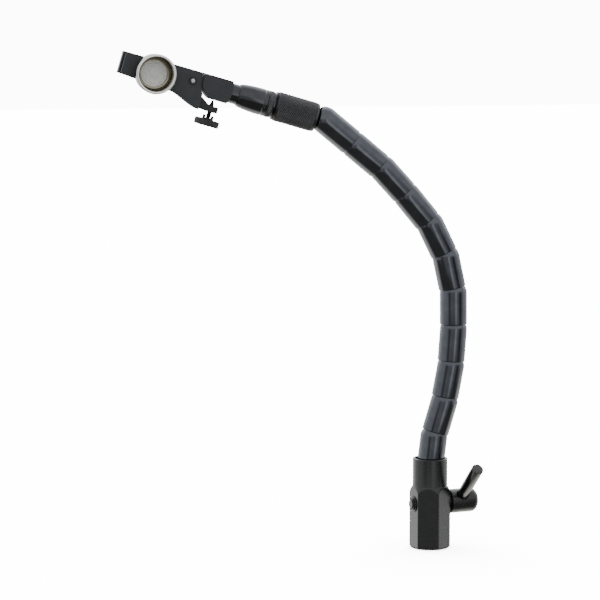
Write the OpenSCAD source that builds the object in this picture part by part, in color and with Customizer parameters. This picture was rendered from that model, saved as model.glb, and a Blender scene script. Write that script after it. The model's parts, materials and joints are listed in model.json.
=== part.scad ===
// Locking flexible arm with a clip head, for holding a microphone or a light at the end of a snake
// of ball-jointed links.
// Origin: centre of the base's bottom face. +Z up, the arm bends in the XZ plane, the head points towards -X.

/* [Base] */
// Width across the flats of the hexagonal base
base_af = 27; // [26:0.5:30]
// Height of the hexagonal part
hex_h = 47; // [44:0.5:50]
// Height of the base's round mouth above the hexagon
mouth_h = 21; // [18:0.5:22]
// Outer radius of the mouth
mouth_r = 13.1; // [12.8:0.1:13.4]
// Direction of the cam shaft, in degrees from +X
shaft_turn = 12.5; // [0:0.1:30]
// Height of the cam shaft's axis
shaft_z = 33.5; // [31:0.5:34]
// Radius of the stand thread in the bottom face
thread_r = 7.5; // [7:0.1:8]
// Depth of the stand thread
thread_depth = 17; // [12:1:18]

/* [Lever] */
// Radius of the lever's hub
hub_r = 9.1; // [8:0.1:10]
// Length of the hub
hub_len = 22.5; // [20:0.5:26]
// Radius of the handle rod
rod_r = 4.5; // [3.5:0.1:4.8]
// Length of the rod outside the hub
rod_out = 34.2; // [25:0.1:45]
// Lean of the rod from upright, towards -Y
rod_lean = 47; // [0:0.5:60]

/* [Links] */
// Outer radius of the links
link_r = 10.25; // [9.5:0.05:10.3]
// Distance between the ball centres of a middle link
link_pitch = 27.6; // [26:0.1:32]
// The same distance in the lowest link
low_pitch = 23; // [22:0.5:30]
// The same distance in the highest link
high_pitch = 29.8; // [26:0.1:34]
// Height of a link's lower edge above its ball centre
edge_lift = 4.3; // [4:0.1:5]
// Radial gap between a dome and its socket
ball_gap = 0.25; // [0.2:0.05:0.3]
// Radius of the tension cable
cable_r = 1.5; // [1.2:0.1:1.6]

/* [Head] */
// Outer radius of the knurled tension collar
collar_r = 11; // [10.8:0.1:11.5]
// Width of the head across its two cheeks
head_w = 17; // [16.6:0.1:18]
// Thickness of the lever's sheet metal
sheet_t = 1.5; // [1.2:0.1:1.8]
// Outer radius of the cup
cup_r = 14.5; // [14:0.1:16]
// Radius of the cup's opening
cup_bore_r = 12.5; // [12:0.1:13]
// Depth of the cup from its rim to its back face
cup_depth = 19; // [16:1:22]

/* [Hidden] */
$fn = 64;

// Fits: a shaft in its hole, and a thread in its hole
fit = 0.05;
tiny = 0.01;

// Base
base_top = hex_h + mouth_h;
hex_r = base_af / 2 / cos(30);
flat = base_af / 2;
ball_z = base_top - 7;
mouth_bore_r = link_r + 1.05;
pocket_z = base_top - 22;
pocket_top = base_top - 13.5;
washer_t = 1;
cavity_r = 7.2;
cavity_z = 23;
throw = 1.2;
eccentric_r = 3;
right_journal_r = 5;
left_journal_r = 3.25;
spacer_t = 2;
stub_r = 4;
rod_along = 11.1;
hub_round = 5;
lug_z = shaft_z - throw;

// Arm: the lean of each link from upright, from the base to the head, and the head's own lean
lean = [6.8, 16.3, 10.3, 4, -0.5, -12.1, -26.1, -39.3, -42.2, -50, -50.3];
head_lean = -73.5;
links = len(lean);
function pitch(i) = i == 0 ? low_pitch : i == links - 1 ? high_pitch : link_pitch;
function along(a) = [sin(a), 0, cos(a)];
function ball(i) = i == 0 ? [0, 0, ball_z] : ball(i - 1) + pitch(i - 1) * along(lean[i - 1]);
socket_r = link_r + ball_gap;
cable_bore_r = cable_r + 0.7;
top_flare = 24;

// Head: distances along its axis from the last ball centre
collar_start = 7;
collar_end = 38.6;
lip_end = 39.9;
ring_start = 41.2;
ring_end = 45.8;
nose_start = 46.1;
nose_end = 75.2;
spigot_start = 14.5;
spigot_r = 7.9;
nose_bore_r = 6;
spring_seat = 49;
bracket_start = 72.7;

// Head: distances from the bracket's end, and heights above the head's axis
half_w = head_w / 2;
top_v = 8.7;
bottom_v = -8.4;
end_camber_r = 19;
shoulder = [10.3, 4];
shoulder_r = 13.4;
shoulder_gap = 1.8;
pivot = [31, 0.8];
pin_r = 1.6;
tongue_r = 5.1;
tongue_half = half_w - sheet_t - 0.3;
cheek_end = 83.3;
strap_end = 84.6;
flange_front = -0.5;
strap_top = 7.7;
strap_bottom = -8.8;
web_end = 46.5;
screw_u = 11.6;
screw_r = 1.75;
block_bottom = -17.8;
block_half = 5;
wheel_r = 9.3;
wheel_top = -23.2;
wheel_bottom = -28.1;
cup_at = [60.3, -1.9];
head_seat = 1.2;
disc_seat = 2.2;
bowl_floor = 3.05;
bowl_r = 9.65;
bowl_fillet = cup_bore_r - bowl_r;

// Places a module in the frame of link i, with its lower ball centre at the origin and +Z along it
module at_link(i) { translate(ball(i)) rotate([0, lean[i], 0]) children(); }

// Places a module in the head's frame: +Z along the head from the last ball centre, +X upwards
module at_head() { translate(ball(links)) rotate([0, head_lean, 0]) children(); }

// Places a module in the bracket's frame: as the head's, from the bracket's end
module at_bracket() { at_head() translate([0, 0, bracket_start]) children(); }

// Places a module in the cam shaft's frame: +X along the shaft, from the base's axis
module at_shaft() { translate([0, 0, shaft_z]) rotate([0, 0, shaft_turn]) children(); }

// A cylinder along X from x = a to x = b
module rod_x(r, a, b) { translate([a, 0, 0]) rotate([0, 90, 0]) cylinder(r = r, h = b - a); }

// A cylinder along Z from z = a to z = b
module rod_z(r, a, b) { translate([0, 0, a]) cylinder(r = r, h = b - a); }

// A cylinder along Y from y = a to y = b
module rod_y(r, a, b) { translate([0, b, 0]) rotate([90, 0, 0]) cylinder(r = r, h = b - a); }

// A flat plate between y = a and y = b. Its outline is drawn as [along the head, height]
module plate(a, b) {
    translate([0, b, 0]) rotate([90, 0, 0]) linear_extrude(b - a) mirror([1, -1]) children();
}

// A round profile turned about Z: its points are [radius, height]
module turned(points) { rotate_extrude() polygon(points); }

// --- Base ---

module base_block() {
    color([0.12, 0.125, 0.13]) difference() {
        union() {
            intersection() {
                rotate([0, 0, shaft_turn - 30]) cylinder(r = hex_r, h = hex_h, $fn = 6);
                turned([[0, -1], [hex_r - 1.8, -1], [hex_r + 1.2, 2], [hex_r + 1.2, hex_h - 6.6],
                    [mouth_r + 0.1, hex_h], [mouth_r - 1, hex_h + 1], [0, hex_h + 1]]);
            }
            turned([[0, hex_h - 1], [mouth_r, hex_h - 1], [mouth_r, base_top - 0.7],
                [mouth_r - 0.7, base_top], [0, base_top]]);
        }
        rod_z(mouth_bore_r, pocket_top, base_top + 1);
        rod_z(link_r + fit, pocket_z, pocket_top + tiny);
        rod_z(cavity_r, cavity_z, pocket_z + tiny);
        rod_z(thread_r, -1, thread_depth);
        at_shaft() {
            rod_x(left_journal_r + fit, -flat - 1, 0);
            rod_x(right_journal_r + fit, 0, flat + 1);
        }
    }
}

module thrust_washer() {
    color([0.55, 0.45, 0.2]) difference() {
        rod_z(link_r - 0.3, pocket_z, pocket_z + washer_t);
        rod_z(4, pocket_z - 1, pocket_z + washer_t + 1);
    }
}

module base_ball() {
    color([0.2, 0.2, 0.21]) difference() {
        union() {
            rod_z(link_r, pocket_z + washer_t, ball_z);
            dome(ball_z);
        }
        cable_way(pocket_z, ball_z, 12);
    }
}

// The upper half of a ball on top of a cylinder that ends at height z
module dome(z) {
    intersection() {
        translate([0, 0, z]) sphere(r = link_r);
        rod_z(link_r + 1, z - tiny, z + link_r + 1);
    }
}

// The way for the cable: a plain bore up to a ball centre, then a flare that lets it lean
module cable_way(from, ball_height, flare) {
    rod_z(cable_bore_r, from - 1, ball_height + 1);
    translate([0, 0, ball_height])
        cylinder(r1 = cable_bore_r, r2 = cable_bore_r + (link_r + 1) * tan(flare), h = link_r + 1);
}

module cable_eye() {
    color([0.5, 0.5, 0.52]) translate([0, 0, lug_z - shaft_z]) at_shaft() difference() {
        union() {
            rod_z(3.2, 4, 11);
            translate([-3.5, -5.8, -5.4]) cube([7, 11.6, 10.8]);
        }
        slot_half = throw + 0.15;
        slot_r = eccentric_r + 0.4;
        for (y = [-slot_half, slot_half]) translate([0, y, 0]) rod_x(slot_r, -5, 5);
        translate([-5, -slot_half, -slot_r]) cube([10, 2 * slot_half, 2 * slot_r]);
        rod_z(cable_r, 4.2, 12);
    }
}

module cam_shaft() {
    color([0.45, 0.45, 0.47]) at_shaft() difference() {
        union() {
            rod_x(left_journal_r, -flat - 2.6, -4.5);
            translate([0, 0, -throw]) rod_x(eccentric_r, -4.6, 4.6);
            rod_x(right_journal_r, 4.5, flat);
            rod_x(stub_r, flat - 1, flat + spacer_t + 18);
        }
        translate([-flat - 1.75, 0, 0]) difference() {
            rod_x(left_journal_r + 1, 0, 0.85);
            rod_x(left_journal_r - 0.6, -1, 2);
        }
        translate([flat + rod_along, 0, 0]) rotate([rod_lean, 0, 0]) rod_z(2 + fit, -5, 5);
    }
}

module shaft_washer() {
    color([0.3, 0.3, 0.31]) at_shaft() difference() {
        rod_x(6, -flat - 0.8, -flat - 0.02);
        rod_x(left_journal_r + 0.1, -flat - 2, -flat + 1);
    }
}

module shaft_circlip() {
    color([0.2, 0.2, 0.21]) at_shaft() translate([-flat - 1.7, 0, 0]) difference() {
        rod_x(4.6, 0, 0.75);
        rod_x(left_journal_r - 0.55, -1, 2);
        translate([-1, -1.6, -6]) cube([3, 3.2, 6]);
    }
}

module hub_spacer() {
    color([0.15, 0.15, 0.16]) at_shaft() difference() {
        rod_x(6.4, flat + 0.05, flat + spacer_t);
        rod_x(stub_r + 0.1, flat - 1, flat + spacer_t + 1);
    }
}

module lever_hub() {
    start = flat + spacer_t + 0.05;
    color([0.17, 0.175, 0.18]) at_shaft() difference() {
        translate([start, 0, 0]) rotate([0, 90, 0])
            turned([[0, 0], [hub_r - 0.4, 0], [hub_r, 0.4],
                for (a = [0 : 18 : 90]) [hub_r - hub_round * (1 - cos(a)), hub_len - hub_round * (1 - sin(a))],
                [0, hub_len]]);
        rod_x(stub_r + fit, start - 1, start + 18.5);
        translate([flat + rod_along, 0, 0]) rotate([rod_lean, 0, 0]) rod_z(rod_r + fit, 3.5, hub_r + 1);
    }
}

module lever_rod() {
    color([0.06, 0.06, 0.065]) at_shaft() translate([flat + rod_along, 0, 0]) rotate([rod_lean, 0, 0]) {
        seat = stub_r + 0.6;
        tip = hub_r + rod_out;
        rod_z(2, -3, seat + 0.1);
        turned([[0, seat], [rod_r, seat], [rod_r, tip - 0.7], [rod_r - 0.7, tip], [0, tip]]);
    }
}

// --- Links ---

module link(i) {
    upper = pitch(i);
    color([0.1, 0.11, 0.12]) at_link(i) difference() {
        union() {
            rod_z(link_r, edge_lift, upper);
            dome(upper);
        }
        sphere(r = socket_r);
        cable_way(edge_lift, upper, i == links - 1 ? top_flare : 16);
    }
}

// The cable is one tube, straight inside each link and bent at each ball centre.
// A ring of points closes each straight stretch, on the plane that halves the bend.
cable_sides = 16;
cable_leans = concat([0], lean, [head_lean]);
cable_stops = [
    [0, 0, lug_z + 4.3],
    for (i = [0 : links]) ball(i),
    ball(links) + (spring_seat + 14) * along(head_lean)
];
function ring_lean(k) = k == 0 ? 0 : k == links + 2 ? head_lean : (cable_leans[k - 1] + cable_leans[k]) / 2;
function ring_stretch(k) = k == 0 || k == links + 2 ? 1 : 1 / cos((cable_leans[k] - cable_leans[k - 1]) / 2);
function ring_point(k, a) = cable_stops[k]
    + (cable_r - fit) * (ring_stretch(k) * cos(a) * along(ring_lean(k) + 90) + [0, sin(a), 0]);

module tension_cable() {
    rings = len(cable_stops);
    points = [for (k = [0 : rings - 1], j = [0 : cable_sides - 1]) ring_point(k, j * 360 / cable_sides)];
    walls = [for (k = [0 : rings - 2], j = [0 : cable_sides - 1])
        let (a = k * cable_sides + j, b = k * cable_sides + (j + 1) % cable_sides)
        each [[a, a + cable_sides, b], [b, a + cable_sides, b + cable_sides]]];
    ends = [[for (j = [0 : cable_sides - 1]) j],
        [for (j = [cable_sides - 1 : -1 : 0]) (rings - 1) * cable_sides + j]];
    color([0.6, 0.6, 0.62]) polyhedron(points, concat(walls, ends));
}

// --- Collar and nose ---

module tension_collar() {
    color([0.14, 0.14, 0.15]) at_head() difference() {
        turned([[0, collar_start], [collar_r - 1.6, collar_start], [collar_r - 0.5, collar_start + 0.5],
            [collar_r, collar_start + 1.6], [collar_r, collar_end - 0.4], [collar_r - 0.4, collar_end],
            [collar_r - 1.3, collar_end + 0.05], [collar_r - 1.3, collar_end + 0.35],
            [collar_r - 0.6, collar_end + 0.5], [collar_r - 0.6, lip_end - 0.2], [collar_r - 0.8, lip_end],
            [0, lip_end]]);
        sphere(r = socket_r);
        rod_z(6, collar_start, 13);
        rod_z(spigot_r + fit, 12.5, lip_end + 1);
    }
}

module collar_ring() {
    color([0.14, 0.14, 0.15]) at_head() difference() {
        turned([[0, ring_start], [9.5, ring_start], [9.9, ring_start + 0.4], [9.9, ring_end - 0.4],
            [9.5, ring_end], [0, ring_end]]);
        rod_z(spigot_r + fit, ring_start - 1, ring_end + 1);
    }
}

module nose() {
    color([0.08, 0.08, 0.09]) at_head() difference() {
        turned([[0, spigot_start], [spigot_r - 0.4, spigot_start], [spigot_r, spigot_start + 0.4],
            [spigot_r, nose_start], [9.6, nose_start], [9.9, nose_start + 0.3], [9.9, nose_start + 1.2],
            [9.5, nose_start + 1.6], [9.5, nose_start + 2.6], [9.88, nose_start + 3],
            for (a = [0 : 15 : 90]) [7.4 + 2.48 * cos(a), nose_start + 3 + 19 * sin(a)],
            [7.4, nose_end], [0, nose_end]]);
        rod_z(cable_bore_r, spigot_start - 1, spring_seat + 1);
        rod_z(nose_bore_r, spring_seat, nose_end + 1);
    }
}

module disc_springs() {
    color([0.6, 0.6, 0.55]) at_head() for (k = [0 : 3]) translate([0, 0, spring_seat + 0.05 + 1.1 * k])
        rotate_extrude() polygon(k % 2 == 0
            ? [[cable_bore_r, 0.4], [5.6, 0], [5.6, 0.6], [cable_bore_r, 1]]
            : [[cable_bore_r, 0], [5.6, 0.4], [5.6, 1], [cable_bore_r, 0.6]]);
}

module cable_ferrule() {
    color([0.7, 0.7, 0.68]) at_head() difference() {
        turned([[0, spring_seat + 4.6], [5.2, spring_seat + 4.6], [5.2, spring_seat + 6],
            [3.2, spring_seat + 6.3], [3.2, spring_seat + 14.5], [2.8, spring_seat + 15], [0, spring_seat + 15]]);
        rod_z(cable_r, spring_seat + 4, spring_seat + 14.1);
    }
}

module nose_stud() {
    color([0.5, 0.5, 0.52]) at_head() {
        rod_z(nose_bore_r - fit, nose_end - 10, nose_end - 0.1);
        rod_z(4, nose_end - 0.2, nose_end + 11);
    }
}

// --- Clip head ---

// The side of the bracket: a cambered end at the nose and a round shoulder at the lever
module bracket_side() {
    intersection() {
        translate([0.4, bottom_v]) square([26, top_v - bottom_v]);
        translate([0.4 + end_camber_r, 1]) circle(r = end_camber_r, $fn = 128);
        union() {
            translate(shoulder) circle(r = shoulder_r, $fn = 128);
            translate([0, bottom_v]) square([16.2, top_v - bottom_v]);
            translate([0, shoulder[1]]) square([22.8, top_v - shoulder[1]]);
        }
    }
}

module tongue_side() {
    translate(pivot) circle(r = tongue_r);
    translate([15, pivot[1] - tongue_r]) square([pivot[0] - 15, 2 * tongue_r]);
}

module clip_bracket() {
    color([0.2, 0.205, 0.215]) at_bracket() difference() {
        union() {
            plate(-half_w, half_w) bracket_side();
            plate(-tongue_half, tongue_half) tongue_side();
        }
        rod_z(7.4 + fit, -1, nose_end - bracket_start + 0.05);
        rod_z(4 + fit, 0, nose_end - bracket_start + 11.5);
        translate([pivot[1], 0, pivot[0]]) rod_y(pin_r + fit, -half_w, half_w);
        translate([0, 0, 8.5]) rod_y(1.65, 0, half_w + 1);
    }
}

module bracket_grub_screw() {
    color([0.25, 0.25, 0.26]) at_bracket() translate([0, 0, 8.5]) difference() {
        rod_y(1.6, 4.1, half_w - 0.4);
        rotate([-90, 0, 0]) translate([0, 0, half_w - 2]) cylinder(r = 0.9, h = 3, $fn = 6);
    }
}

// Everything the lever's side plates keep clear of: the bracket's shoulder and a gap round it
module shoulder_clearance() {
    translate(shoulder) circle(r = shoulder_r + shoulder_gap, $fn = 128);
    translate([-1, shoulder[1]]) square([24.3 + 1, 12]);
}

// The lower edge of both cheeks, from the plain sheet beside the cup to the end of the tail
cheek_edge = [[53, -10.5], [45.4, -10.8], [40.6, -11.4], [37.2, -12.6], [29, -16], [26, -17.1], [24, -17.7],
    [21.4, -18.3]];

// The front cheek carries the cup and ends in a rounded corner
module front_side() {
    difference() {
        polygon(concat([[21.4, top_v], [web_end, top_v], [web_end + 2, 8.1], [cheek_end - 1, strap_top],
            [cheek_end, strap_top - 1], [cheek_end, strap_bottom + 1], [cheek_end - 1, strap_bottom],
            [71.6, -9.5]], cheek_edge));
        shoulder_clearance();
    }
}

// The rear cheek ends in a flange turned towards the front one
module rear_side() {
    difference() {
        polygon(concat([[21.4, top_v], [web_end, top_v], [web_end + 2, 8.1], [strap_end, strap_top],
            [strap_end, strap_bottom], [71.6, -9.5]], cheek_edge));
        shoulder_clearance();
    }
}

module clip_lever() {
    inner = half_w - sheet_t;
    color([0.2, 0.205, 0.215]) at_bracket() difference() {
        union() {
            plate(-half_w, -inner) front_side();
            plate(inner, half_w) rear_side();
            plate(-half_w, half_w) difference() {
                translate([24.9, top_v - sheet_t]) square([web_end - 24.9, sheet_t]);
                shoulder_clearance();
            }
            plate(flange_front, half_w) translate([strap_end - 1.2, strap_bottom])
                square([1.2, strap_top - strap_bottom]);
        }
        translate([pivot[1], 0, pivot[0]]) rod_y(pin_r + fit, -half_w - 1, half_w + 1);
        translate([cup_at[1], 0, cup_at[0]]) rod_y(2.1, -half_w - 1, -inner + 1);
    }
}

module pivot_pin() {
    color([0.75, 0.75, 0.74]) at_bracket() translate([pivot[1], 0, pivot[0]])
        rod_y(pin_r, -half_w - 1.2, half_w + 1.2);
}

module pin_rings() {
    color([0.12, 0.12, 0.13]) at_bracket() translate([pivot[1], 0, pivot[0]])
        for (y = [-half_w - 0.7, half_w + 0.02]) difference() {
            rod_y(2.9, y, y + 0.68);
            rod_y(pin_r + 0.02, y - 1, y + 2);
        }
}

module nut_block() {
    color([0.05, 0.05, 0.055]) at_bracket() difference() {
        plate(-block_half, block_half) polygon([[6.8, -13.1], [9.1, -13.2], [12.9, -12.6], [14.1, -12.8],
            [20, -8.9], [21.2, -8.4], [25, -9.4], [27.5, -10.5], [27.5, -15], [22, -16.8], [19.7, -17.3],
            [13, block_bottom], [6.8, block_bottom + 0.3]]);
        translate([0, 0, screw_u]) rod_x(screw_r + fit, block_bottom - 1, 0);
    }
    color([0.05, 0.05, 0.055]) at_bracket() for (side = [-1, 1])
        translate([0, side * (block_half + half_w - sheet_t) / 2, 0])
            plate(-(half_w - sheet_t - block_half) / 2 - tiny, (half_w - sheet_t - block_half) / 2)
                polygon([[22, -9.5], [27, -11], [27, -14.6], [22, -16.6]]);
}

module thumb_screw() {
    color([0.3, 0.3, 0.31]) at_bracket() translate([0, 0, screw_u]) {
        rotate([0, 90, 0]) turned([[0, wheel_bottom + 1], [screw_r, wheel_bottom + 1],
            [screw_r, bottom_v - 4.2], [0.45, bottom_v - 0.2], [0, bottom_v - 0.2]]);
    }
}

module thumb_wheel() {
    color([0.2, 0.21, 0.22]) at_bracket() translate([0, 0, screw_u]) difference() {
        union() {
            rotate([0, 90, 0]) turned([[0, wheel_bottom], [wheel_r - 0.6, wheel_bottom],
                [wheel_r, wheel_bottom + 0.6], [wheel_r, wheel_top - 0.6], [wheel_r - 0.6, wheel_top], [0, wheel_top]]);
            for (side = [-1, 1]) translate([0, 0, side * 3.1]) rod_x(1.1, wheel_top - 1, wheel_top + 3);
            rod_x(3, wheel_top - 1, wheel_top + 0.9);
        }
        rod_x(screw_r + 0.02, wheel_bottom + 0.98, wheel_top + 3);
    }
}

// Turns a profile drawn as [radius, distance in front of the cheek] about the cup's axis
module cup_turned(points) {
    at_bracket() translate([cup_at[1], -half_w, cup_at[0]]) rotate([90, 0, 0]) turned(points);
}

module cup() {
    color([0.75, 0.74, 0.7]) difference() {
        cup_turned([[0, 0.02], [13.2, 0.02], [14, 0.7], [14.2, 2], [14.2, 12], [cup_r, 14],
            [cup_r, cup_depth - 0.8], [cup_r - 0.6, cup_depth], [cup_bore_r + 0.5, cup_depth],
            [cup_bore_r, cup_depth - 0.5],
            for (a = [0 : 15 : 90]) [bowl_r + bowl_fillet * cos(a), bowl_floor + bowl_fillet * (1 - sin(a))],
            [bowl_r, disc_seat], [4.6, disc_seat], [4.6, head_seat], [0, head_seat]]);
        cup_turned([[0, -1], [2.1, -1], [2.1, head_seat + 1], [0, head_seat + 1]]);
    }
}

module cup_floor_disc() {
    color([0.85, 0.85, 0.82]) cup_turned([[0, disc_seat + 0.02], [bowl_r - 0.1, disc_seat + 0.02],
        [bowl_r - 0.1, bowl_floor - 0.1], [bowl_r - 0.2, bowl_floor], [0, bowl_floor]]);
}

module cup_screw() {
    color([0.6, 0.6, 0.6]) cup_turned([[0, -sheet_t - 3.4], [2, -sheet_t - 3.4], [2, head_seat + 0.02],
        [3.8, head_seat + 0.02], [3.8, head_seat + 0.7], [3.5, disc_seat - 0.05], [0, disc_seat - 0.05]]);
}

module cup_nut() {
    color([0.6, 0.6, 0.6]) at_bracket() translate([cup_at[1], -half_w + sheet_t + 0.02, cup_at[0]])
        rotate([-90, 0, 0]) difference() {
            cylinder(r = 3.5 / cos(30), h = 3, $fn = 6);
            translate([0, 0, -1]) cylinder(r = 2.02, h = 5);
        }
}

base_block();
thrust_washer();
base_ball();
cable_eye();
cam_shaft();
shaft_washer();
shaft_circlip();
hub_spacer();
lever_hub();
lever_rod();
for (i = [0 : links - 1]) link(i);
tension_cable();
tension_collar();
collar_ring();
nose();
disc_springs();
cable_ferrule();
nose_stud();
clip_bracket();
bracket_grub_screw();
clip_lever();
pivot_pin();
pin_rings();
nut_block();
thumb_screw();
thumb_wheel();
cup();
cup_floor_disc();
cup_screw();
cup_nut();
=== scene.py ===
"""Looks of the locking flexible arm: meshes, materials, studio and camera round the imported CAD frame."""
import json
import math

import bmesh
import bpy
from mathutils import Matrix, Vector


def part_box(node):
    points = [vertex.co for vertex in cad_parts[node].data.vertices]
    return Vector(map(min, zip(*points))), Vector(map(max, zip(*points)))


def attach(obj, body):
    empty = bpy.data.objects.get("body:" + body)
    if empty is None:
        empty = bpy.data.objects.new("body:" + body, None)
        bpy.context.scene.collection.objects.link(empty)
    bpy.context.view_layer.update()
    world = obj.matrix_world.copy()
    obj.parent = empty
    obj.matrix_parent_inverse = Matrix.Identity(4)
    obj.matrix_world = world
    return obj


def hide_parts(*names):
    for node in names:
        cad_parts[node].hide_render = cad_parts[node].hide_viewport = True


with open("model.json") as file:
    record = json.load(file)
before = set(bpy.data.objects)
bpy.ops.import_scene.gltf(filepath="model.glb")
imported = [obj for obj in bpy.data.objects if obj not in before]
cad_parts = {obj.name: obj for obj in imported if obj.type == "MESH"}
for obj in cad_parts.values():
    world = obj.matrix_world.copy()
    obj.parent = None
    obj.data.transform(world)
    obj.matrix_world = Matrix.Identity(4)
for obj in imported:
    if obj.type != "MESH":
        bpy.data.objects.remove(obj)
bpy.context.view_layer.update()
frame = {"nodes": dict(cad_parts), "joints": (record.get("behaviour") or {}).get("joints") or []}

MM = 0.001
TAU = 2 * math.pi
JOINTS = {j["name"]: j for j in frame["joints"]}
LINKS = sum(name.startswith("link_") for name in frame["nodes"])


# --- Places, all taken from the frame ---

def basis(origin, along, across):
    """A matrix with its Z along one direction and its Y as near as it can be to another."""
    z = Vector(along).normalized()
    x = Vector(across).cross(z).normalized()
    y = z.cross(x)
    return Matrix.Translation(Vector(origin)) @ Matrix((x, y, z)).transposed().to_4x4()


def joint_point(name):
    return Vector(JOINTS[name]["pos_m"])


def joint_axis(name):
    return Vector(JOINTS[name]["axis"])


def span(node, axis):
    """The lowest and highest reach of a node along one axis of the row frame, in metres."""
    low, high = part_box(node)
    return low[axis], high[axis]


Y_AXIS = Vector((0, 1, 0))
BALLS = [joint_point(f"bend_{i + 1}") for i in range(LINKS)] + [joint_point("head_bend")]
HEAD = basis(BALLS[-1], joint_axis("head_roll"), Y_AXIS)
BRACKET = basis(joint_point("head_roll"), joint_axis("head_roll"), Y_AXIS)
SHAFT = basis(joint_point("cam_lever"), joint_axis("cam_lever"), (0, 0, 1))
BASE = Matrix.Identity(4)
LINK_R = (span("link_5", 1)[1] - span("link_5", 1)[0]) / 2 / MM
BASE_TOP = span("base_block", 2)[1] / MM


# --- Camera ---

CAMERA_TURN = math.radians(-10)
CAMERA_RISE = math.radians(7.0)
CAMERA_AIM = Vector((-0.099, 0, 0.191))
CAMERA_AWAY = 2.1
PHOTO_FOCAL = 4.715
SHIFT_X, SHIFT_Y = -0.0012, -0.0027


def add_camera():
    back = Vector((math.sin(CAMERA_TURN) * math.cos(CAMERA_RISE),
                   -math.cos(CAMERA_TURN) * math.cos(CAMERA_RISE), math.sin(CAMERA_RISE)))
    data = bpy.data.cameras.new("camera")
    data.sensor_width = 36
    data.lens = 36 * PHOTO_FOCAL
    data.shift_x, data.shift_y = SHIFT_X, SHIFT_Y
    data.clip_start, data.clip_end = 0.05, 50
    camera = bpy.data.objects.new("camera", data)
    bpy.context.collection.objects.link(camera)
    camera.location = CAMERA_AIM + back * CAMERA_AWAY
    camera.rotation_mode = "QUATERNION"
    camera.rotation_quaternion = (-back).to_track_quat("-Z", "Y")
    bpy.context.scene.camera = camera


add_camera()


# --- Materials ---

class Shader:
    """A material under construction: a Principled surface and the nodes that feed it."""

    def __init__(self, name):
        self.material = bpy.data.materials.new(name)
        self.material.use_nodes = True
        self.tree = self.material.node_tree
        self.surface = self.tree.nodes["Principled BSDF"]
        self.place = self.node("ShaderNodeTexCoord").outputs["Object"]

    def node(self, kind, **settings):
        made = self.tree.nodes.new(kind)
        for key, value in settings.items():
            setattr(made, key, value)
        return made

    def join(self, source, target):
        self.tree.links.new(source, target)

    def set(self, **values):
        for key, value in values.items():
            self.surface.inputs[key.replace("_", " ")].default_value = value

    def scaled(self, scale):
        mapping = self.node("ShaderNodeMapping")
        mapping.inputs["Scale"].default_value = scale
        self.join(self.place, mapping.inputs["Vector"])
        return mapping.outputs["Vector"]

    def noise(self, size_mm, stretch=(1, 1, 1), detail=4, rough=0.6):
        """Noise whose features are about size_mm across, drawn out by stretch."""
        made = self.node("ShaderNodeTexNoise")
        made.inputs["Scale"].default_value = 1 / (size_mm * MM)
        made.inputs["Detail"].default_value = detail
        made.inputs["Roughness"].default_value = rough
        self.join(self.scaled(stretch), made.inputs["Vector"])
        return made.outputs["Fac"]

    def radius(self):
        """The distance from the piece's own Z axis, in metres."""
        made = self.node("ShaderNodeVectorMath", operation="LENGTH")
        self.join(self.scaled((1, 1, 0)), made.inputs[0])
        return made.outputs["Value"]

    def blended(self, factor, first, second):
        """Two colours or colour outputs, mixed by a factor."""
        made = self.node("ShaderNodeMix", data_type="RGBA")
        self.join(factor, made.inputs[0])
        for socket, colour in ((made.inputs[6], first), (made.inputs[7], second)):
            if isinstance(colour, tuple):
                socket.default_value = (*colour, 1)
            else:
                self.join(colour, socket)
        return made.outputs[2]

    def between(self, factor, low, high, start=0.3, end=0.7):
        """Turns a factor into a number between low and high."""
        made = self.node("ShaderNodeMapRange")
        made.inputs["From Min"].default_value = start
        made.inputs["From Max"].default_value = end
        made.inputs["To Min"].default_value = low
        made.inputs["To Max"].default_value = high
        self.join(factor, made.inputs["Value"])
        return made.outputs["Result"]

    def tint(self, factor, dark, light, start=0.3, end=0.7):
        """Colours the surface between two colours by a factor."""
        ramp = self.node("ShaderNodeValToRGB")
        ramp.color_ramp.elements[0].position = start
        ramp.color_ramp.elements[0].color = (*dark, 1)
        ramp.color_ramp.elements[1].position = end
        ramp.color_ramp.elements[1].color = (*light, 1)
        self.join(factor, ramp.inputs["Fac"])
        self.join(ramp.outputs["Color"], self.surface.inputs["Base Color"])

    def rough(self, factor, low, high, start=0.3, end=0.7):
        self.join(self.between(factor, low, high, start, end), self.surface.inputs["Roughness"])

    def bump(self, factor, height_mm, strength=1.0):
        made = self.node("ShaderNodeBump")
        made.inputs["Distance"].default_value = height_mm * MM
        made.inputs["Strength"].default_value = strength
        self.join(factor, made.inputs["Height"])
        self.join(made.outputs["Normal"], self.surface.inputs["Normal"])


ALONG_RINGS = (0.02, 0.02, 1)
ACROSS_POLISH = (1, 1, 3)


def turned_metal(name, dark, light, rough_low, rough_high):
    """Metal finished on a lathe about its own Z: fine rings, faint stains and an uneven polish."""
    s = Shader(name)
    s.set(Metallic=1.0)
    s.tint(s.noise(9, detail=5), dark, light)
    s.rough(s.noise(3, ACROSS_POLISH, detail=6), rough_low, rough_high)
    s.bump(s.noise(0.25, ALONG_RINGS, detail=2), 0.0015)
    return s.material


def coated_metal(name, dark, light, rough_low, rough_high, grain_height=0.012, coat=0.0):
    """Metal under a thin coat of paint or powder: a fine grain, with a faintly uneven tone."""
    s = Shader(name)
    s.set(Metallic=0.0, IOR=1.5, Coat_Weight=coat, Coat_Roughness=0.25)
    s.tint(s.noise(6, detail=6), dark, light)
    s.rough(s.noise(1.2, detail=5), rough_low, rough_high)
    s.bump(s.noise(0.35, detail=3), grain_height)
    return s.material


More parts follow.
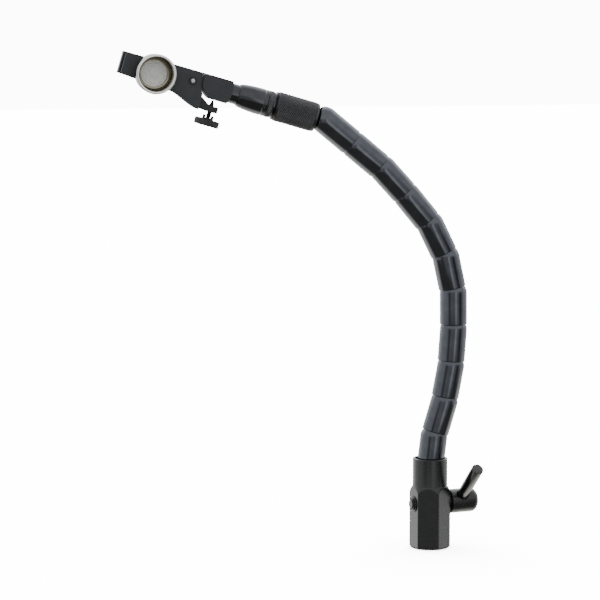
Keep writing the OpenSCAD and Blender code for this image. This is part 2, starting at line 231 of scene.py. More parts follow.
def faced_metal(name, dark, light, rough_low, rough_high):
    """A flat disc faced on a lathe: rings round its own Z, as waves of its radius."""
    s = Shader(name)
    s.set(Metallic=0.2, IOR=1.45)
    ring_mm, ring_height = 0.7, 0.02
    wave = s.node("ShaderNodeTexWave", wave_type="RINGS", rings_direction="Z")
    wave.inputs["Scale"].default_value = 1 / (ring_mm * MM) / 3
    wave.inputs["Distortion"].default_value = 0.6
    wave.inputs["Detail"].default_value = 3
    s.join(s.place, wave.inputs["Vector"])
    s.tint(wave.outputs["Fac"], dark, light, 0.1, 0.9)
    s.rough(s.noise(2, detail=5), rough_low, rough_high)
    s.bump(wave.outputs["Fac"], ring_height)
    return s.material


def cup_metal(name, rim, wall, bowl, bowl_mm, rim_mm):
    """Polished plate on a cup that opens along its Z, with painted light: the rim painted bright as a painted
    highlight, the outer wall painted greyer and the bowl painted dim as painted shade, all with faint stains.
    """
    s = Shader(name)
    s.set(Metallic=1.0)
    stain = s.noise(7, detail=5)
    split = s.node("ShaderNodeSeparateXYZ")
    s.join(s.place, split.inputs["Vector"])
    outside = s.between(s.radius(), 0, 1, bowl_mm * MM, (bowl_mm + 0.3) * MM)
    rim_highlight_mask = s.between(split.outputs["Z"], 0, 1, (rim_mm - 0.4) * MM, rim_mm * MM)
    # Painted light: the bowl colour is a dim painted shade inside the cup, the wall colour a greyer painted
    # shade, and the rim colour a bright painted highlight on the rim face.
    sides = s.blended(outside, s.blended(stain, *bowl), s.blended(stain, *wall))
    s.join(s.blended(rim_highlight_mask, sides, s.blended(stain, *rim)), s.surface.inputs["Base Color"])
    s.rough(s.noise(3, ACROSS_POLISH, detail=6), 0.10, 0.20)
    s.bump(s.noise(0.4, ALONG_RINGS, detail=2), 0.0015)
    return s.material


def knurled_metal(name, groove_shade, dark, light, ring_mm, collar_mm, depth_mm):
    """Blackened metal with two knurled sizes: the points are pale, partly from wear and partly a painted
    highlight, and the grooves are painted dark as painted shade.
    """
    s = Shader(name)
    s.set(Metallic=1.0)
    reach = s.radius()
    low = s.between(reach, 0, 1, (ring_mm - depth_mm) * MM, ring_mm * MM)
    high = s.between(reach, 0, 1, (collar_mm - depth_mm) * MM, collar_mm * MM)
    is_collar = s.between(reach, 0, 1, (ring_mm + 0.15) * MM, (ring_mm + 0.2) * MM)
    height = s.node("ShaderNodeMix", data_type="FLOAT")
    for source, socket in ((is_collar, 0), (low, 2), (high, 3)):
        s.join(source, height.inputs[socket])
    wear_and_highlight = s.blended(s.noise(5, detail=5), dark, light)
    # Grooves take a near-black painted shade; the points take a pale tone that is partly wear and partly a
    # painted highlight.
    s.join(s.blended(height.outputs[0], groove_shade, wear_and_highlight), s.surface.inputs["Base Color"])
    s.rough(s.noise(2, detail=5), 0.30, 0.42)
    return s.material


COLLAR_R, COLLAR_KNURL = 11, 0.5
RING_R, RING_KNURL = 9.9, 0.45
CUP_BORE, CUP_DEPTH = 12.5, 18.98

MATERIALS = {
    "link_black": turned_metal("link_black", (0.066, 0.071, 0.081), (0.092, 0.098, 0.109), 0.06, 0.13),
    "nose_black": turned_metal("nose_black", (0.046, 0.047, 0.052), (0.066, 0.068, 0.074), 0.04, 0.09),
    # knurl_black: near-black painted shade in the grooves, pale points that are partly worn and partly a
    # painted highlight.
    "knurl_black": knurled_metal("knurl_black", (0.016, 0.016, 0.017), (0.150, 0.154, 0.162),
                                 (0.215, 0.220, 0.230), RING_R, COLLAR_R, RING_KNURL),
    "hub_black": coated_metal("hub_black", (0.004, 0.0042, 0.0046), (0.009, 0.0094, 0.010), 0.20, 0.30,
                              grain_height=0.0015),
    "rod_black": coated_metal("rod_black", (0.002, 0.002, 0.0024), (0.005, 0.005, 0.006), 0.12, 0.20,
                              grain_height=0.001, coat=0.5),
    "hex_black": coated_metal("hex_black", (0.002, 0.0021, 0.0024), (0.006, 0.0062, 0.0068), 0.22, 0.32,
                              grain_height=0.0012),
    "clip_black": coated_metal("clip_black", (0.017, 0.0185, 0.0225), (0.025, 0.027, 0.032), 0.44, 0.56,
                               grain_height=0.010),
    "block_black": coated_metal("block_black", (0.0016, 0.0016, 0.0018), (0.004, 0.004, 0.0045), 0.38, 0.52),
    # cup_steel: a bright painted highlight on the rim, a greyer painted shade on the outer wall and a dim
    # olive painted shade in the bowl.
    "cup_steel": cup_metal("cup_steel", ((0.62, 0.61, 0.58), (0.78, 0.77, 0.74)),
                           ((0.20, 0.195, 0.18), (0.36, 0.35, 0.33)),
                           ((0.15, 0.135, 0.10), (0.30, 0.28, 0.22)), CUP_BORE + 0.25, CUP_DEPTH - 0.38),
    "disc_metal": faced_metal("disc_metal", (0.84, 0.84, 0.79), (0.96, 0.96, 0.92), 0.38, 0.50),
    "pin_steel": turned_metal("pin_steel", (0.34, 0.34, 0.34), (0.46, 0.46, 0.46), 0.24, 0.36),
    "plain_steel": turned_metal("plain_steel", (0.42, 0.42, 0.43), (0.55, 0.55, 0.56), 0.25, 0.38),
    "cable_steel": turned_metal("cable_steel", (0.30, 0.30, 0.31), (0.48, 0.48, 0.49), 0.25, 0.40),
    "bronze": turned_metal("bronze", (0.42, 0.27, 0.11), (0.58, 0.40, 0.18), 0.25, 0.38),
}


# --- Mesh making ---

def new_piece(name, mesh, place, body, slot, stands_for):
    """Puts a mesh into the scene as a piece that rides on a body and stands for CAD nodes."""
    piece = bpy.data.objects.new(name, mesh)
    bpy.context.collection.objects.link(piece)
    piece.matrix_world = place
    mesh.materials.clear()
    mesh.materials.append(MATERIALS[slot])
    for face in mesh.polygons:
        face.use_smooth = True
    mesh.set_sharp_from_angle(angle=math.radians(32))
    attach(piece, body)
    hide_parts(*stands_for)
    return piece


def rounded(points, steps=4):
    """A profile with its corners rounded. A point is (radius, height) or (radius, height, corner radius)."""
    out = [points[0][:2]]
    for before, here, after in zip(points, points[1:], points[2:]):
        size = here[2] if len(here) > 2 else 0.0
        a, b, c = (Vector(p[:2]) for p in (before, here, after))
        size = min(size, (a - b).length * 0.48, (c - b).length * 0.48)
        if size <= 0:
            out.append(tuple(b))
            continue
        start, end = b + (a - b).normalized() * size, b + (c - b).normalized() * size
        for k in range(steps + 1):
            t = k / steps
            out.append(tuple((1 - t) ** 2 * start + 2 * t * (1 - t) * b + t ** 2 * end))
    out.append(points[-1][:2])
    return out


def arc(centre, radius, start, end, steps):
    """Points of a circular arc in a profile, with angles in degrees from the radius direction."""
    angles = [math.radians(start + (end - start) * k / steps) for k in range(steps + 1)]
    return [(centre[0] + radius * math.cos(a), centre[1] + radius * math.sin(a)) for a in angles]


def turned_mesh(name, profile, segments=96, shape=None, closed=False, first=0.0):
    """A profile in millimetres, turned about Z. shape(row, angle, radius, height) may change its radius."""
    made = bmesh.new()
    rows = []
    for row, (radius, height) in enumerate(profile):
        if radius < 1e-6:
            rows.append([made.verts.new((0, 0, height * MM))])
            continue
        ring = []
        for k in range(segments):
            angle = first + TAU * k / segments
            r = shape(row, angle, radius, height) if shape else radius
            point = (r * math.cos(angle) * MM, r * math.sin(angle) * MM, height * MM)
            ring.append(made.verts.new(point))
        rows.append(ring)
    pairs = list(zip(rows, rows[1:])) + ([(rows[-1], rows[0])] if closed else [])
    for low, high in pairs:
        for k in range(segments):
            n = (k + 1) % segments
            if len(low) == 1 and len(high) == 1:
                break
            if len(low) == 1:
                made.faces.new((low[0], high[n], high[k]))
            elif len(high) == 1:
                made.faces.new((low[k], low[n], high[0]))
            else:
                made.faces.new((low[k], low[n], high[n], high[k]))
    bmesh.ops.recalc_face_normals(made, faces=made.faces)
    mesh = bpy.data.meshes.new(name)
    made.to_mesh(mesh)
    made.free()
    return mesh


def combined(mesh, other, operation, place=None):
    """The boolean of two meshes in the same frame: the other one is moved by place first."""
    base = bpy.data.objects.new("boolean_base", mesh)
    tool = bpy.data.objects.new("boolean_tool", other)
    for o in (base, tool):
        bpy.context.collection.objects.link(o)
    if place is not None:
        tool.matrix_world = place
    change = base.modifiers.new("boolean", "BOOLEAN")
    change.operation, change.object, change.solver = operation, tool, "EXACT"
    bpy.context.view_layer.update()
    result = bpy.data.meshes.new_from_object(base.evaluated_get(bpy.context.evaluated_depsgraph_get()))
    result.name = mesh.name
    for o in (base, tool):
        bpy.data.objects.remove(o)
    return result


def refined(node, body, slot, edge_mm, wide=None):
    """A CAD node's shape with its sharp edges rounded. The edges that wide picks get its own radius first."""
    shape = bmesh.new()
    shape.from_mesh(frame["nodes"][node].data)
    bmesh.ops.remove_doubles(shape, verts=shape.verts, dist=1e-6)
    bmesh.ops.dissolve_limit(shape, angle_limit=math.radians(0.4), verts=shape.verts, edges=shape.edges)
    if wide:
        chosen = [e for e in shape.edges if wide(e)]
        if chosen:
            bmesh.ops.bevel(shape, geom=chosen, offset=wide.size * MM, segments=5, profile=0.5,
                            affect="EDGES", clamp_overlap=True)
    sharp = [e for e in shape.edges if len(e.link_faces) == 2 and e.calc_face_angle(0) > math.radians(28)]
    if sharp:
        bmesh.ops.bevel(shape, geom=sharp, offset=edge_mm * MM, segments=2, profile=0.5,
                        affect="EDGES", clamp_overlap=True)
    mesh = bpy.data.meshes.new(node)
    shape.to_mesh(mesh)
    shape.free()
    piece = new_piece(f"{node}_finished", mesh, BASE, body, slot, [node])
    even = piece.modifiers.new("even shading", "WEIGHTED_NORMAL")
    even.keep_sharp = True
    return piece


# --- Arm ---

EDGE_LIFT = 4.3
SOCKET_R = LINK_R + 0.25
BORE_R = 2.2
LINK_FLARE, LAST_FLARE = 16, 24
CABLE_R, CABLE_STEP, CABLE_TOP = 1.45, 0.7, 63


def link_profile(length, flare_deg):
    """A link from its socket's rim round the outside to the dome, the flare and the bore."""
    rim = math.sqrt(SOCKET_R ** 2 - EDGE_LIFT ** 2)
    mouth = BORE_R + LINK_R * math.tan(math.radians(flare_deg))
    outside = rounded([(rim, EDGE_LIFT), (LINK_R, EDGE_LIFT, 0.22), (LINK_R, length)])
    dome_end = math.degrees(math.acos(mouth / LINK_R))
    dome = arc((0, length), LINK_R, 0, dome_end, 18)[1:]
    lip = length + LINK_R * math.sin(math.radians(dome_end))
    socket_top = math.sqrt(SOCKET_R ** 2 - BORE_R ** 2)
    inside = [(mouth - 0.25, lip - 0.1), (BORE_R, length), (BORE_R, socket_top)]
    start = math.degrees(math.asin(socket_top / SOCKET_R))
    end = math.degrees(math.asin(EDGE_LIFT / SOCKET_R))
    return outside + dome + inside + arc((0, 0), SOCKET_R, start, end, 12)[1:-1]


def add_links():
    for i in range(LINKS):
        length = (BALLS[i + 1] - BALLS[i]).length / MM
        flare = LAST_FLARE if i == LINKS - 1 else LINK_FLARE
        mesh = turned_mesh(f"link_{i + 1}", link_profile(length, flare), closed=True)
        place = basis(BALLS[i], BALLS[i + 1] - BALLS[i], Y_AXIS)
        new_piece(f"link_{i + 1}_finished", mesh, place, f"link_{i + 1}", "link_black", [f"link_{i + 1}"])


def rope_shape(row, angle, radius, height):
    """Six strands laid round a rope."""
    lay = 20
    return radius * (0.9 + 0.1 * abs(math.cos(3 * (angle - TAU * height / lay))))


def add_cable():
    low_end = Vector((0, 0, span("tension_cable", 2)[0]))
    top_end = HEAD @ Vector((0, 0, CABLE_TOP * MM))
    stops = [low_end, *BALLS, top_end]
    bodies = ["cable_eye"] + [f"link_{i + 1}" for i in range(LINKS)] + ["nose"]
    for k, body in enumerate(bodies):
        length = (stops[k + 1] - stops[k]).length / MM
        rows = max(int(length / CABLE_STEP), 2)
        profile = [(0, 0), *[(CABLE_R, length * r / rows) for r in range(rows + 1)], (0, length)]
        mesh = turned_mesh(f"cable_run_{k}", profile, 36, rope_shape)
        new_piece(f"cable_run_{k}", mesh, basis(stops[k], stops[k + 1] - stops[k], Y_AXIS), body,
                  "cable_steel", ["tension_cable"])


# --- Collar, ring and nose ---

def diamond(angle, height, count, pitch):
    """The height of a diamond knurl, from 0 in its grooves to 1 on its points."""
    a = angle / TAU * count + height / pitch
    b = angle / TAU * count - height / pitch
    return 2 * min(abs(a - math.floor(a + 0.5)), abs(b - math.floor(b + 0.5)))


def knurled_mesh(name, before, low, high, after, radius, count, depth):
    """A turned part, knurled between two heights. before and after are the rest of its profile."""
    pitch = TAU * radius / count
    rows = int(round((high - low) / pitch * 6))
    middle = [(radius, low + (high - low) * k / rows) for k in range(rows + 1)]
    profile = before + middle + after

    def shape(row, angle, r, height):
        if not len(before) < row < len(before) + rows:
            return r if not len(before) <= row <= len(before) + rows else r - depth
        return r - depth * (1 - min(diamond(angle, height, count, pitch) * 1.25, 1))

    return turned_mesh(name, profile, count * 6, shape, closed=True)


NOSE_NECK_R = 7.95


def add_collar():
    low, end, lip = 7, 38.6, 39.9
    plain_r, lip_r, groove_r, hole_r = COLLAR_R - 0.3, COLLAR_R - 0.6, COLLAR_R - 1.3, 6
    rim = math.sqrt(SOCKET_R ** 2 - low ** 2)
    before = rounded([(rim, low), (plain_r, low, 1.5), (plain_r, low + 1.9)])
    after = rounded([(plain_r, end - 0.6), (plain_r, end, 0.3), (groove_r, end + 0.05, 0.1),
                     (groove_r, end + 0.35, 0.1), (lip_r, end + 0.5, 0.15), (lip_r, lip, 0.3),
                     (NOSE_NECK_R + 0.25, lip, 0.2), (NOSE_NECK_R, lip - 0.4), (NOSE_NECK_R, 12.6),
                     (hole_r, 12.6), (hole_r, 8.6)])
    after += arc((0, 0), SOCKET_R, 55, math.degrees(math.asin(low / SOCKET_R)), 10)[:-1]
    mesh = knurled_mesh("tension_collar", before, low + 2, end - 0.7, after, COLLAR_R, 42, COLLAR_KNURL)
    new_piece("tension_collar_finished", mesh, HEAD, "collar", "knurl_black", ["tension_collar"])


def add_ring():
    low, high = 41.2, 45.8
    plain_r = RING_R - 0.3
    before = rounded([(NOSE_NECK_R, low), (plain_r, low, 0.3), (plain_r, low + 0.6)])
    after = rounded([(plain_r, high - 0.6), (plain_r, high, 0.3), (NOSE_NECK_R, high)])
    mesh = knurled_mesh("collar_ring", before, low + 0.65, high - 0.65, after, RING_R, 38, RING_KNURL)
    new_piece("collar_ring_finished", mesh, HEAD, "ring", "knurl_black", ["collar_ring"])


def add_nose():
    start, end, seat = 46.1, 75.2, 49
    curve = [(7.4 + 2.48 * math.cos(math.radians(a)), start + 3 + 19 * math.sin(math.radians(a)))
             for a in range(0, 91, 5)]
    outside = rounded([(BORE_R, 14.5), (7.5, 14.5), (7.9, 14.9), (7.9, start), (9.9, start, 0.35),
                       (9.9, start + 1.3, 0.25), (9.5, start + 1.7, 0.15), (9.5, start + 2.5, 0.15),
                       (9.88, start + 3, 0.15)])[:-1]
    inside = [(7.4, end - 0.2), (7.2, end), (6, end), (6, seat), (BORE_R, seat)]
    mesh = turned_mesh("nose", outside + curve + inside, 128, closed=True)
    new_piece("nose_finished", mesh, HEAD, "nose", "nose_black", ["nose"])


# --- Base ---

def hexagon(angle, flat, turn, sharpness=90):
    """The radius of a hexagonal bar with slightly rounded corners, at an angle."""
    total = sum(max(math.cos(angle - turn - k * TAU / 6), 0) ** sharpness for k in range(6))
    return flat / total ** (1 / sharpness)


def lesser(a, b, blend=0.35):
    """The smaller of two lengths, with a small round where they cross."""
    h = max(blend - abs(a - b), 0) / blend
    return min(a, b) - h * h * blend / 4


def add_base():
    flat, hex_h, pocket_z = FLAT, 47, BASE_TOP - 22
    mouth_r, mouth_in, pocket_r, cavity_r, thread_r = 13.1, LINK_R + 1.05, LINK_R + 0.05, 7.2, 7.5
    pocket_top, cavity_z = pocket_z + 8.5, 23
    shaft_hole, shaft_head = 3.3, 5.05
    turn = math.atan2(joint_axis("cam_lever").y, joint_axis("cam_lever").x)
    hex_r = flat / math.cos(TAU / 12)
    sides = 14
    thread_pitch, thread_depth = 0.94, 17
    turns = int(thread_depth / thread_pitch) - 1
    thread = [(0, thread_depth), (thread_r, thread_depth)]
    for k in range(turns, 0, -1):
        thread += [(thread_r, k * thread_pitch + 0.35), (thread_r + 0.45, k * thread_pitch)]
    thread += [(thread_r + 0.1, 0.8), (thread_r + 0.9, 0)]
    bottom = [(hex_r - 1.2, 0), (hex_r - 0.8, 0.03)]
    chamfer_low = [(hex_r - 0.8 + 2 * k / 8, 0.03 + 2 * k / 8) for k in range(1, 9)]
    chamfer_high = [(hex_r + 1.2 - (hex_r - mouth_r + 1.1) * k / 16, hex_h - 6.6 + 6.6 * k / 16)
                    for k in range(17)]
    side = [(hex_r + 1.2, 2.1 + (hex_h - 8.8) * k / sides) for k in range(1, sides)]
    upper = rounded([(mouth_r + 0.05, hex_h), (mouth_r, hex_h + 0.12), (mouth_r, BASE_TOP, 0.7),
                     (mouth_in, BASE_TOP, 0.3), (mouth_in, pocket_top), (pocket_r, pocket_top),
                     (pocket_r, pocket_z), (cavity_r, pocket_z), (cavity_r, cavity_z), (0, cavity_z)])
    profile = thread + bottom + chamfer_low + side + chamfer_high + upper
    first = len(thread) + 1
    last = first + 1 + len(chamfer_low) + len(side) + len(chamfer_high)

    def shape(row, angle, radius, height):
        if not first <= row < last:
            return radius
        return lesser(hexagon(angle, flat, turn), radius)

    mesh = turned_mesh("base_block", profile, 360, shape, first=turn + TAU / 12)
    drill = turned_mesh("drill", [(0, -20), (shaft_hole, -20), (shaft_hole, 0), (shaft_head, 0),
                                  (shaft_head, 20), (0, 20)], 64)
    mesh = combined(mesh, drill, "DIFFERENCE", SHAFT)
    new_piece("base_block_finished", mesh, BASE, "root", "hex_black", ["base_block"])


def add_base_ball():
    low = span("base_ball", 2)[0] / MM
    centre = BALLS[0].z / MM
    mouth = 4.4
    end = math.degrees(math.acos(mouth / LINK_R))
    outside = rounded([(BORE_R, low), (LINK_R, low, 0.3), (LINK_R, centre)])
    profile = outside + arc((0, centre), LINK_R, 0, end, 16)[1:] + [(BORE_R, centre)]
    mesh = turned_mesh("base_ball", profile, closed=True)
    new_piece("base_ball_finished", mesh, BASE, "swivel", "link_black", ["base_ball"])


# --- Cam lever ---

FLAT = 13.5
ROD_R = 4.5
ROD_LEAN = math.radians(47)
ROD_ALONG = FLAT + 11.1


def rod_frame():
    """The handle rod's frame: Z along the rod, away from the hub."""
    lean = Matrix.Rotation(ROD_LEAN, 4, joint_axis("cam_lever"))
    up = lean @ Vector((0, 0, 1))
    return basis(SHAFT @ Vector((0, 0, ROD_ALONG * MM)), up, joint_axis("cam_lever"))


def add_lever():
    start, length, radius, bore, bore_depth, dome = FLAT + 2.05, 22.5, 9.1, 4.05, 18.5, 5
    end = start + length
    profile = [(0, start + bore_depth), (bore, start + bore_depth)]
    profile += rounded([(bore, start), (radius, start, 0.5), (radius, end - dome)])
    profile += arc((radius - dome, end - dome), dome, 0, 90, 14)[1:] + [(0, end)]
    mesh = turned_mesh("lever_hub", profile, 128)
    seat_r = ROD_R + 0.05
    seat = turned_mesh("seat", [(0, 3.6), (seat_r, 3.6), (seat_r, 8), (5.4, 9.8), (0, 9.8)], 64)
    mesh = combined(mesh, seat, "DIFFERENCE", SHAFT.inverted() @ rod_frame())
    new_piece("lever_hub_finished", mesh, SHAFT, "cam", "hub_black", ["lever_hub"])
    tip, pilot = radius + 34.2, 2
    rod = rounded([(0, -3), (pilot, -3), (pilot, 4.6), (ROD_R, 4.6), (ROD_R, 7.6), (ROD_R - 0.25, 8),
                   (ROD_R, 9), (ROD_R, tip, 0.8), (0, tip)])
    new_piece("lever_rod_finished", turned_mesh("lever_rod", rod, 72), rod_frame(), "cam", "rod_black",
              ["lever_rod"])


# --- Clip head ---

class BendEdges:
    """Picks the folded edges of the clip lever: those along the head at its top, and at the end flange."""
    size = 1.1
    top_x, web_end, flange_z = 8.7 * MM, 47.5 * MM, 84.6 * MM
    longest_end, near = 5 * MM, 1e-5

    def __init__(self):
        self.to_head = BRACKET.inverted()
        self.half = (span("clip_lever", 1)[1] - span("clip_lever", 1)[0]) / 2

    def __call__(self, edge):
        a, b = (self.to_head @ v.co for v in edge.verts)
        outer = all(abs(abs(p.y) - self.half) < self.near for p in (a, b))
        top = all(abs(p.x - self.top_x) < self.near for p in (a, b)) and abs(a.z - b.z) > self.longest_end
        web = max(a.z, b.z) < self.web_end
        flange = all(p.y > 0 and abs(p.z - self.flange_z) < self.near for p in (a, b))
        return outer and ((top and web) or flange)


def add_clip():
    refined("clip_bracket", "bracket", "clip_black", 0.35)
    refined("clip_lever", "clip", "clip_black", 0.22, wide=BendEdges())
    refined("nut_block", "clip", "block_black", 0.3)
    refined("bracket_grub_screw", "bracket", "block_black", 0.1)
    refined("pin_rings", "clip", "block_black", 0.12)
    pin = JOINTS["clip_tilt"]["pos_m"]
    low, high = (v / MM for v in span("pivot_pin", 1))
    middle = (low + high) / 2
    near, far = low - middle, high - middle
    pin_r, chamfer = 1.6, 0.3
    profile = rounded([(0, near), (pin_r - chamfer, near, 0.2), (pin_r, near + chamfer),
                       (pin_r, far - chamfer), (pin_r - chamfer, far, 0.2), (0, far)])
    place = basis((pin[0], middle * MM, pin[2]), Y_AXIS, (0, 0, 1))
    mesh = turned_mesh("pivot_pin", profile, 48)
    new_piece("pivot_pin_finished", mesh, place, "clip", "pin_steel", ["pivot_pin"])


def thumb_frame():
    """The thumb screw's frame: Z along the screw, up towards the bracket, from the head's axis."""
    axis = joint_axis("thumb_screw_spin")
    point = joint_point("thumb_screw_spin")
    origin = point - axis * (point - BRACKET.translation).dot(axis)
    return basis(origin, axis, Y_AXIS)


def add_thumb_screw():
    place = thumb_frame()
    low, neck, cone, tip, pitch = -27.1, -22.5, -12.6, -8.6, 0.7
    root_r, screw_r, tip_r = 1.5, 1.75, 0.5
    thread = []
    for k in range(int((cone - neck) / pitch)):
        thread += [(root_r, neck + k * pitch), (screw_r, neck + (k + 0.5) * pitch)]
    profile = [(0, low), (screw_r, low), (screw_r, neck - 0.3), *thread, (screw_r, cone),
               (tip_r, tip - 0.1), (0, tip)]
    new_piece("thumb_screw_finished", turned_mesh("thumb_screw", profile, 48), place, "thumb_screw",
              "block_black", ["thumb_screw"])
    radius, bottom, top, teeth, tooth_depth = 9.3, -28.1, -23.2, 60, 0.22
    boss_r, boss_top, lug_r, lug_h, lug_out = 3, top + 0.9, 1.1, 3, 3.1
    hole_r, hole_z = screw_r + 0.02, low - 0.02

    def grip(row, angle, r, height):
        return r - tooth_depth * (0.5 + 0.5 * math.cos(teeth * angle)) if r > radius - 0.1 else r

    wheel = rounded([(0, bottom), (radius, bottom, 0.8), (radius, top, 0.8), (boss_r, top, 0.2),
                     (boss_r, boss_top, 0.3), (0, boss_top)], steps=5)
    mesh = turned_mesh("thumb_wheel", wheel, teeth * 8, grip)
    for side in (-lug_out, lug_out):
        lug = turned_mesh("lug", rounded([(0, -1), (lug_r, -1), (lug_r, lug_h, 0.4), (0, lug_h)]), 32)
        mesh = combined(mesh, lug, "UNION", Matrix.Translation((side * MM, 0, top * MM)))
    hole = turned_mesh("hole", [(0, hole_z), (hole_r, hole_z), (hole_r, top + lug_h), (0, top + lug_h)], 32)
    mesh = combined(mesh, hole, "DIFFERENCE")
    new_piece("thumb_wheel_finished", mesh, place, "thumb_screw", "hub_black", ["thumb_wheel"])


def add_cup():
    back = span("cup", 1)[1]
    low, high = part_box("cup")
    centre = (low + high) / 2
    place = basis((centre.x, back, centre.z), -Y_AXIS, (0, 0, 1))
    floor, bowl, radius, wall_r = 3.03, 9.65, 14.5, 14.2
    disc_seat, head_seat, head_r, screw_r = 2.2, 1.2, 4.6, 2.1
    fillet = CUP_BORE - bowl
    outside = rounded([(screw_r, 0), (13.2, 0, 0.3), (14, 0.7, 0.4), (wall_r, 2, 0.5), (wall_r, 12, 0.4),
                       (radius, 14, 0.4), (radius, CUP_DEPTH, 0.9), (CUP_BORE, CUP_DEPTH, 0.7),
                       (CUP_BORE, floor + fillet)], steps=6)
    inside = arc((bowl, floor + fillet), fillet, 0, -90, 12)[1:]
    profile = outside + inside + [(bowl, disc_seat), (head_r, disc_seat), (head_r, head_seat),
                                  (screw_r, head_seat)]
    mesh = turned_mesh("cup", profile, 128, closed=True)
    new_piece("cup_finished", mesh, place, "clip", "cup_steel", ["cup"])
    grooves = []
    for k in (8.6, 7.9, 6.2, 4.4, 4.0):
        grooves += [(k + 0.2, floor), (k, floor - 0.05), (k - 0.2, floor)]
    disc_r, disc_back = bowl - 0.1, disc_seat + 0.02
    disc = [(0, disc_back), (disc_r, disc_back), (disc_r, floor - 0.12), (disc_r - 0.12, floor), *grooves,
            (0, floor)]
    mesh = turned_mesh("cup_floor_disc", disc, 128)
    new_piece("cup_floor_disc_finished", mesh, place, "clip", "disc_metal", ["cup_floor_disc"])


def add_small_parts():
    refined("cam_shaft", "cam", "hub_black", 0.15)
    refined("shaft_washer", "root", "hub_black", 0.15)
    refined("shaft_circlip", "cam", "block_black", 0.12)
    refined("hub_spacer", "cam", "hub_black", 0.2)
    refined("cable_eye", "cable_eye", "plain_steel", 0.25)
    refined("thrust_washer", "root", "bronze", 0.15)
    refined("disc_springs", "nose", "plain_steel", 0.08)
    refined("cable_ferrule", "nose", "plain_steel", 0.15)
    refined("nose_stud", "nose", "plain_steel", 0.3)
    refined("cup_screw", "clip", "plain_steel", 0.15)
    refined("cup_nut", "clip", "plain_steel", 0.2)


add_links()
add_cable()
add_collar()
add_ring()
add_nose()
add_base()
add_base_ball()
add_lever()
add_clip()
add_thumb_screw()
add_cup()
add_small_parts()


# --- Studio ---

# Strengths that come out white to the camera, and the tent's top and ground at the front and the back.
FLOOR_SEEN = 9.0
BACKDROP = 12.0
TOP_FRONT, TOP_BACK = 1.3, 2.8
GROUND_FRONT, GROUND_BACK = 0.26, 2.4
# The tent's walls: brightness at angles round the arm, 0 at the front and positive to the right. A dark
# strip stands left of the front, a bright panel and then a dark flag right of it.
TENT = [(-180, 1.3), (-150, 1.9), (-125, 2.2), (-100, 1.5), (-60, 1.15), (-47, 0.95), (-38, 0.35),
        (-30, 0.32), (-23, 0.75), (0, 0.72), (11, 0.75), (16, 1.7), (23, 1.7), (31, 0.95), (48, 0.5),
        (55, 0.2), (65, 0.2), (76, 0.9), (106, 1.5), (180, 1.3)]
BRIGHTEST = 2.5


def add_floor():
    """A white floor that only the camera sees. Reflections see the light tent, which goes on below it."""
    size, level = 6, -0.0004
    mesh = bpy.data.meshes.new("floor")
    corners = [(-size, -size, level), (size, -size, level), (size, size, level), (-size, size, level)]
    mesh.from_pydata(corners, [], [(0, 1, 2, 3)])
    floor = bpy.data.objects.new("floor", mesh)
    bpy.context.collection.objects.link(floor)
    s = Shader("floor")
    path = s.node("ShaderNodeLightPath")
    seen, open_air, mix = (s.node(kind) for kind in ("ShaderNodeBsdfDiffuse", "ShaderNodeBsdfTransparent",
                                                     "ShaderNodeMixShader"))
    seen.inputs["Color"].default_value = (FLOOR_SEEN, FLOOR_SEEN, FLOOR_SEEN, 1)
    s.join(path.outputs["Is Camera Ray"], mix.inputs["Fac"])
    s.join(open_air.outputs["BSDF"], mix.inputs[1])
    s.join(seen.outputs["BSDF"], mix.inputs[2])
    output = next(n for n in s.tree.nodes if n.type == "OUTPUT_MATERIAL")
    s.join(mix.outputs["Shader"], output.inputs["Surface"])
    mesh.materials.append(s.material)


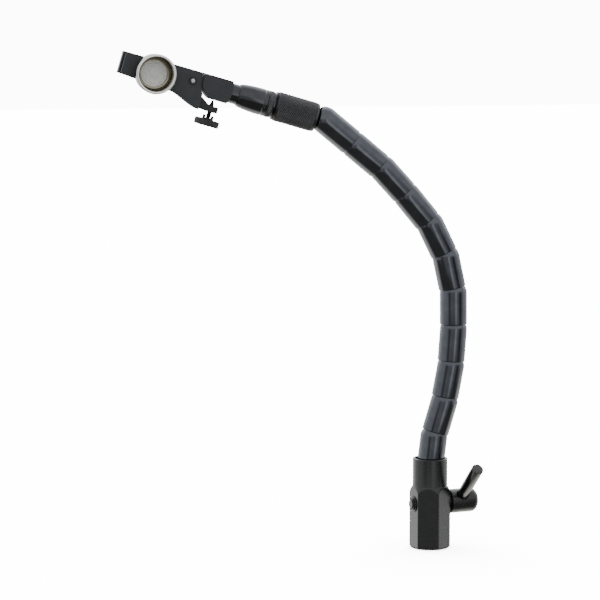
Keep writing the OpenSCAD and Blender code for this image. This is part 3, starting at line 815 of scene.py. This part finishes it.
def add_world():
    """White to the camera. To every surface it is a tent: the walls of TENT, a bright top, a dim ground."""
    world = bpy.data.worlds.new("studio")
    bpy.context.scene.world = world
    world.use_nodes = True
    nodes, links = world.node_tree.nodes, world.node_tree.links

    def node(kind, **settings):
        made = nodes.new(kind)
        for key, value in settings.items():
            setattr(made, key, value)
        return made

    def sent(value, low, high, out_low, out_high, curve="LINEAR"):
        made = node("ShaderNodeMapRange", interpolation_type=curve)
        for key, number in (("From Min", low), ("From Max", high), ("To Min", out_low), ("To Max", out_high)):
            made.inputs[key].default_value = number
        links.new(value, made.inputs["Value"])
        return made.outputs["Result"]

    direction = node("ShaderNodeTexCoord").outputs["Generated"]
    parts = []
    across, ahead = math.cos(CAMERA_TURN), math.sin(CAMERA_TURN)
    for side in ((across, ahead, 0), (ahead, -across, 0)):
        dot = node("ShaderNodeVectorMath", operation="DOT_PRODUCT")
        links.new(direction, dot.inputs[0])
        dot.inputs[1].default_value = side
        parts.append(dot.outputs["Value"])
    angle = node("ShaderNodeMath", operation="ARCTAN2")
    links.new(parts[0], angle.inputs[0])
    links.new(parts[1], angle.inputs[1])
    ramp = node("ShaderNodeValToRGB")
    ramp.color_ramp.interpolation = "EASE"
    stops = ramp.color_ramp.elements
    stops.remove(stops[1])
    for degrees, brightness in TENT:
        stop = stops.new((degrees + 180) / 360) if degrees > TENT[0][0] else stops[0]
        value = brightness / BRIGHTEST
        stop.color = (value * 0.97, value * 0.985, value, 1)
    links.new(sent(angle.outputs["Value"], -math.pi, math.pi, 0, 1), ramp.inputs["Fac"])
    split = node("ShaderNodeSeparateXYZ")
    links.new(direction, split.inputs["Vector"])
    height = sent(split.outputs["Z"], 0.02, 0.35, 0, 1, "SMOOTHSTEP")
    depth = sent(split.outputs["Z"], -0.20, -0.36, 0, 1, "SMOOTHSTEP")
    walls, top, ground, seen = (node("ShaderNodeBackground") for _ in range(4))
    ground.inputs["Color"].default_value = (1, 0.98, 0.90, 1)
    links.new(sent(parts[1], -0.25, 0.1, GROUND_BACK, GROUND_FRONT), ground.inputs["Strength"])
    links.new(ramp.outputs["Color"], walls.inputs["Color"])
    walls.inputs["Strength"].default_value = BRIGHTEST
    top.inputs["Color"].default_value = (0.98, 0.99, 1, 1)
    links.new(sent(parts[1], -0.55, -0.05, TOP_BACK, TOP_FRONT), top.inputs["Strength"])
    seen.inputs["Color"].default_value = (1, 1, 1, 1)
    seen.inputs["Strength"].default_value = BACKDROP
    tent, whole, both = (node("ShaderNodeMixShader") for _ in range(3))
    path = node("ShaderNodeLightPath")
    links.new(height, tent.inputs["Fac"])
    links.new(walls.outputs["Background"], tent.inputs[1])
    links.new(top.outputs["Background"], tent.inputs[2])
    links.new(depth, whole.inputs["Fac"])
    links.new(tent.outputs["Shader"], whole.inputs[1])
    links.new(ground.outputs["Background"], whole.inputs[2])
    links.new(path.outputs["Is Camera Ray"], both.inputs["Fac"])
    links.new(whole.outputs["Shader"], both.inputs[1])
    links.new(seen.outputs["Background"], both.inputs[2])
    output = next(n for n in nodes if n.type == "OUTPUT_WORLD")
    links.new(both.outputs["Shader"], output.inputs["Surface"])


add_floor()
add_world()
